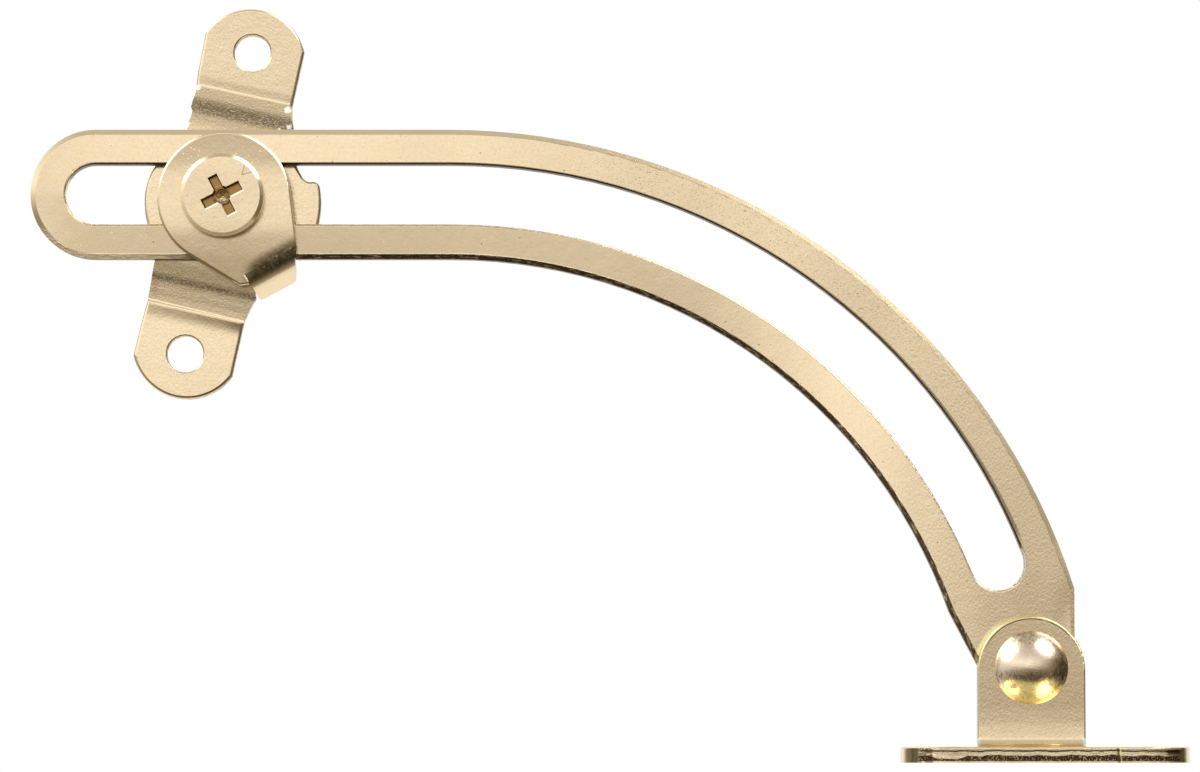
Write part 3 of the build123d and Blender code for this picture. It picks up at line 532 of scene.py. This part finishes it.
def screw_look():
    p = Plating("screw_plating_look", seed=53.0)
    p.lump(p.peel(3.2, 3.0), 0.45)
    p.lump(p.grain(p.pos, 0.8, 2.0), 0.8)
    rx, rz = p.off(p.x, 0.95), p.off(p.z, 0.25)
    rad = p.hypot(rx, rz)
    top = p.times(p.front, p.map_range(p.y, -10.5, -10.57))
    p.tilt(top, 0.0, p.stops(p.z, [(-5, -0.012), (-2, 0.0), (1.5, -0.004), (5, 0.004)]))
    # painted shade in the recess: a brown tint, darker on the walls that face down, and rougher
    deep = p.times(p.map_range(p.y, -10.56, -10.40), p.map_range(rad, 3.3, 3.0))
    lip = p.times(deep, p.map_range(p.nz, 0.22, 0.40))
    shade = p.times(deep, p.map_range(p.nz, -0.22, -0.40))
    p.tint(p.times(deep, p.inv(lip), 0.92), rgb(172, 132, 70))
    p.tint(p.times(shade, 0.6), rgb(84, 58, 24))
    p.roughen(p.times(deep, p.inv(lip)), 0.30)
    # outline of a dried drop on the head
    drop = None
    corners = DROP
    for (x0, z0), (x1, z1) in zip(corners, corners[1:] + corners[:1]):
        run = math.hypot(x1 - x0, z1 - z0)
        ux, uz = (z0 - z1) / run, (x1 - x0) / run
        side = p.plus(p.times(p.off(p.x, x0), ux), p.times(p.off(p.z, z0), uz))
        if drop is None:
            drop = side
        else:
            most = p.nt.nodes.new("ShaderNodeMath")
            most.operation = "SMOOTH_MAX"
            p.link(drop, most.inputs[0])
            p.link(side, most.inputs[1])
            most.inputs[2].default_value = 0.25
            drop = most.outputs[0]
    p.tint(p.times(p.band(drop, -0.04, 0.06, 0.05), top, 0.75), rgb(140, 108, 80))
    p.tint(p.times(p.map_range(drop, 0.0, -0.1), top, 0.45), (0.80, 0.62, 0.46, 1.0))
    # painted highlight: a bright lip along the lower right of the recess
    turn = math.radians(RECESS_TURN)
    ct, st = math.cos(turn), math.sin(turn)

    def cross(px, pz):
        a = p.math("ABSOLUTE", p.plus(p.times(px, ct), p.times(pz, st)))
        b = p.math("ABSOLUTE", p.off(p.times(pz, ct), p.times(px, st)))
        one = p.math("MAXIMUM", p.off(a, RECESS_SPAN / 2), p.off(b, RECESS_WING / 2))
        two = p.math("MAXIMUM", p.off(b, RECESS_SPAN / 2), p.off(a, RECESS_WING / 2))
        return p.math("MINIMUM", one, two)

    line = p.times(p.map_range(cross(rx, rz), -0.01, 0.03), p.map_range(cross(p.off(rx, 0.11), p.plus(rz, 0.15)), 0.05, -0.02), top)
    p.tint(p.times(line, 0.85), (0.98, 0.94, 0.85, 1.0))
    p.tilt(line, 0.0, 0.05)
    specks = p.map_range(p.voronoi(0.9, p.pos), 0.09, 0.04)
    p.tint(p.times(specks, top, 0.7), rgb(120, 80, 50))
    torn = p.grain(p.scale(p.pos, (1.0, 2.5, 1.0)), 1.6, 4, 0.6)
    p.tint(p.times(p.wall, p.inv(deep), p.map_range(torn, 0.45, 0.65), 0.5), DARK)
    # the chamfered rim leans 31 degrees outwards, its lower part only 4; that lower part is tinted gold as a painted
    # reflection
    rim = p.times(p.band(p.ny, -0.90, -0.40, 0.05), p.map_range(rad, 4.5, 4.65), p.map_range(p.y, -10.0, -10.1))
    low = p.map_range(p.plus(p.times(p.nx, 0.35), p.nz), 0.10, -0.30)
    vec = p.cone(p.times(rim, p.inv(low)), 31)
    vec = p.cone(p.times(rim, low), 4, vec)
    p.tint(p.times(rim, low, 0.6), GOLD)
    vec = p.lean(lip, (-0.548, -0.737, 0.396), vec)
    core = p.times(p.map_range(rad, 1.35, 1.05), p.map_range(p.y, -9.6, -9.3))
    p.lump(p.times(p.grain(p.pos, 2.0, 3.0, 0.6), core), 6.0)
    return p.done(p.lean(core, (0.0, -0.998, -0.05), vec))


def rivet_look():
    p = Plating("rivet_plating_look", rough=0.19, tint=(0.90, 0.74, 0.56, 1.0), seed=67.0)
    # the domed head is a true ball: centre and radius of its sphere
    cx, cy, cz = DOME_C
    ball = p.combine(p.off(p.x, cx), p.off(p.y, cy), p.off(p.z, cz))
    away = p.nt.nodes.new("ShaderNodeVectorMath")
    away.operation = "LENGTH"
    p.link(ball, away.inputs[0])
    on = p.times(p.map_range(p.math("ABSOLUTE", p.off(away.outputs["Value"], DOME_R)), 0.06, 0.03, smooth=False),
                 p.map_range(p.y, -8.6, -8.7))
    unit = p.nt.nodes.new("ShaderNodeVectorMath")
    unit.operation = "NORMALIZE"
    p.link(ball, unit.inputs[0])
    pick = p.nt.nodes.new("ShaderNodeMix")
    pick.data_type = "VECTOR"
    p.link(on, pick.inputs[0])
    p.link(p.nrm, pick.inputs[4])
    p.link(unit.outputs[0], pick.inputs[5])
    hammer = p.grain(p.pos, 1.5, 3, 0.6)
    p.lump(hammer, 2.2)
    scratch = p.grain(p.scale(p.pos, (0.7, 1.0, 2.2)), 3.2, 3, 0.7)
    p.lump(scratch, 1.2)
    worn = p.times(p.map_range(p.z, -58.5, -56.0), p.map_range(hammer, 0.40, 0.60))
    p.tint(p.times(worn, 0.45), (0.74, 0.60, 0.52, 1.0))
    mottle = p.grain(p.scale(p.pos, (1.0, 1.0, 0.7)), 2.4, 4, 0.7)
    # painted shade: the right side of the dome darkened
    p.tint(p.times(p.map_range(p.x, 103.2, 105.4), p.map_range(p.z, -56.5, -58.0), p.map_range(mottle, 0.36, 0.56), 0.65), DARK)
    p.tint(p.times(p.map_range(p.z, -56.4, -55.0), p.map_range(mottle, 0.46, 0.60), 0.55), rgb(120, 108, 96))
    # painted shade: a dark belt below the middle of the dome
    streak = p.grain(p.scale(p.pos, (2.0, 1.0, 0.7)), 1.6, 4, 0.75)
    belt = p.times(p.band(p.z, -60.15, -59.15, 0.50), p.map_range(p.plus(p.times(streak, 0.55), p.times(mottle, 0.45)), 0.42, 0.60))
    p.tint(p.times(belt, 0.70), DARK)
    # painted reflection: the bottom of the dome tinted pale gold, with a gold mottle, as if mirroring the brass below
    # it
    p.tint(p.times(p.map_range(p.z, -59.9, -60.9), 0.8), (0.92, 0.86, 0.64, 1.0))
    p.tint(p.times(p.map_range(p.z, -60.2, -61.0), p.map_range(mottle, 0.50, 0.64), 0.35), rgb(150, 118, 50))
    speck = p.map_range(p.voronoi(1.5, p.pos), 0.14, 0.05)
    p.tint(p.times(speck, p.map_range(p.z, -61.5, -59.5), 0.5), DARK)
    p.roughen(p.map_range(hammer, 0.5, 0.62), 0.25)
    return p.done(pick.outputs[1])


def nut_look():
    p = Plating("nut_plating_look", tint=GOLD, rough=0.2, seed=71.0)
    p.lump(p.grain(p.pos, 2.2, 3.0), 1.0)
    return p.done()


DOME_R = 5.58
DOME_C = (101.70, -5.32, -58.60)
looks = {
    "slotted_arm": arm_look(), "case_bracket": case_look(), "lid_bracket": lid_look(), "pressure_plate": plate_look(),
    "clamp_screw": screw_look(), "pivot_rivet": rivet_look(), "clamp_nut": nut_look(), "slot_bush": nylon("bush_nylon_look"),
}
for node, mat in looks.items():
    me = nodes[node].data
    me.materials.clear()
    me.materials.append(mat)

# ---------------------------------------------------------------- floor
lo, hi = cad_box
bpy.ops.mesh.primitive_plane_add(size=6.0, location=(0.05, 0.0, lo.z - 0.06))
floor = bpy.context.object
floor.name = "floor"
t = Tree("floor_paper")
t.bsdf.inputs["Roughness"].default_value = 0.8
t.link(t.mix(t.noise(30, 2), rgb(244, 243, 241), rgb(240, 239, 236)), t.bsdf.inputs["Base Color"])
floor.data.materials.append(t.mat)
floor.visible_glossy = False

# ---------------------------------------------------------------- world: a pale studio with two soft boxes
world = bpy.data.worlds.new("studio")
bpy.context.scene.world = world
world.use_nodes = True
w = Tree.__new__(Tree)
w.nt = world.node_tree
w.nt.nodes.clear()
w_out = w.nt.nodes.new("ShaderNodeOutputWorld")
w_bg = w.nt.nodes.new("ShaderNodeBackground")
w_plain = w.nt.nodes.new("ShaderNodeBackground")
w_pick = w.nt.nodes.new("ShaderNodeMixShader")
w_path = w.nt.nodes.new("ShaderNodeLightPath")
w_tc = w.nt.nodes.new("ShaderNodeTexCoord")
w_plain.inputs["Color"].default_value = (1, 1, 1, 1)
w_plain.inputs["Strength"].default_value = 1.0
dx, dy, dz = w.xyz(w_tc.outputs["Generated"])
deg = math.degrees
elev = w.math("MULTIPLY", w.math("ARCSINE", dz), deg(1))
azim = w.math("MULTIPLY", w.math("ARCTAN2", dx, w.math("MULTIPLY", dy, -1.0)), deg(1))


def toward(az, el):
    a, e = math.radians(az), math.radians(el)
    return Vector((math.sin(a) * math.cos(e), -math.cos(a) * math.cos(e), math.sin(e)))


def patch(az, el, inner, outer):
    """1 inside a round patch of the sky, 0 outside it."""
    n = w.nt.nodes.new("ShaderNodeVectorMath")
    n.operation = "DOT_PRODUCT"
    w.link(w_tc.outputs["Generated"], n.inputs[0])
    n.inputs[1].default_value = toward(az, el)
    return w.map_range(n.outputs["Value"], math.cos(math.radians(outer)), math.cos(math.radians(inner)))


def lerp(f, a, b):
    return w.math("ADD", w.math("MULTIPLY", w.math("SUBTRACT", 1.0, f), a), w.math("MULTIPLY", f, b))


def ramp(value, stops):
    """A level that follows value through (position, level) stops, softly."""
    n = w.nt.nodes.new("ShaderNodeValToRGB")
    n.color_ramp.interpolation = "EASE"
    low, high = stops[0][0], stops[-1][0]
    el = n.color_ramp.elements
    while len(el) < len(stops):
        el.new(0.5)
    for e, (at, v) in zip(el, stops):
        e.position = (at - low) / (high - low)
        e.color = (v / 2, v / 2, v / 2, 1)
    w.link(w.map_range(value, low, high, smooth=False), n.inputs[0])
    return w.math("MULTIPLY", n.outputs[0], 2.0)


# what stands round the object, by elevation, in columns from the left to the right of the camera
columns = [
    (-85, [(-90, 0.72), (-70, 0.36), (-45, 0.30), (-25, 0.42), (0, 0.74), (14, 1.00), (50, 0.90), (70, 0.60), (90, 0.46)]),
    (-40, [(-90, 0.72), (-76, 0.46), (-64, 0.22), (-45, 0.16), (-15, 0.22), (-6, 0.34), (1, 0.62), (8, 1.12), (14, 1.25),
           (24, 0.95), (40, 0.72), (60, 0.62), (76, 0.50), (90, 0.46)]),
    (-4, [(-90, 0.72), (-81, 0.58), (-72, 0.34), (-62, 0.15), (-45, 0.10), (-12, 0.13), (-5, 0.24), (0.5, 0.52), (6, 1.10),
          (10, 1.30), (15, 1.25), (24, 0.90), (38, 0.66), (58, 0.60), (76, 0.50), (90, 0.46)]),
    (18, [(-90, 0.72), (-81, 0.56), (-72, 0.30), (-62, 0.10), (-42, 0.06), (-14, 0.12), (-2, 0.30), (6, 0.80), (14, 0.95),
          (26, 0.76), (40, 0.64), (60, 0.58), (90, 0.46)]),
    (42, [(-90, 0.72), (-72, 0.30), (-45, 0.12), (-12, 0.18), (2, 0.34), (12, 0.52), (30, 0.62), (60, 0.66), (90, 0.46)]),
    (80, [(-90, 0.72), (-65, 0.36), (-30, 0.25), (0, 0.11), (10, 0.15), (25, 0.36), (40, 0.48), (60, 0.56), (90, 0.46)]),
]
front = ramp(elev, columns[0][1])
for (az_a, _), (az_b, stops) in zip(columns, columns[1:]):
    front = lerp(w.map_range(azim, az_a, az_b), front, ramp(elev, stops))
back = ramp(elev, [(-90, 0.72), (-75, 0.84), (-50, 1.02), (-20, 0.98), (30, 0.98), (60, 1.2), (78, 0.8), (90, 0.46)])
# dark room behind the object, to the right and low on the left
aside = w.math("MULTIPLY", w.map_range(azim, 78, 92), w.map_range(azim, 140, 118))
far_left = w.math("MULTIPLY", w.map_range(azim, -84, -96), w.map_range(azim, -158, -128))
flatly = w.map_range(w.math("ABSOLUTE", elev), 62, 36)
back = lerp(w.math("MULTIPLY", aside, flatly), back, 0.09)
back = lerp(w.math("MULTIPLY", far_left, w.map_range(w.math("ABSOLUTE", elev), 22, 10)), back, 0.22)
level = lerp(w.map_range(dy, -0.12, 0.16), front, back)
level = w.math("ADD", level, w.math("MULTIPLY", patch(-74, 40, 10, 26), 3.0))
level = w.math("ADD", level, w.math("MULTIPLY", patch(56, 49, 11, 25), 3.4))
tone = w.mix(w.map_range(level, 0.15, 0.75), (1.0, 0.87, 0.62, 1.0), (1.0, 1.0, 1.0, 1.0))
w.link(tone, w_bg.inputs["Color"])
w.link(level, w_bg.inputs["Strength"])
w.nt.links.new(w_path.outputs["Is Camera Ray"], w_pick.inputs[0])
w.nt.links.new(w_bg.outputs[0], w_pick.inputs[1])
w.nt.links.new(w_plain.outputs[0], w_pick.inputs[2])
w.nt.links.new(w_pick.outputs[0], w_out.inputs[0])

# ---------------------------------------------------------------- camera
cam_data = bpy.data.cameras.new("camera")
cam = bpy.data.objects.new("camera", cam_data)
bpy.context.scene.collection.objects.link(cam)
cam_data.sensor_width = 36.0
cam_data.lens = 168.0
cam_data.clip_start, cam_data.clip_end = 0.02, 20.0
cam.location = (48.083 * MM, -705.169 * MM, -67.348 * MM)
cam.rotation_euler = (math.radians(93.6), 0.0, 0.0)
bpy.context.scene.camera = cam
bpy.context.scene.view_settings.view_transform = "Standard"
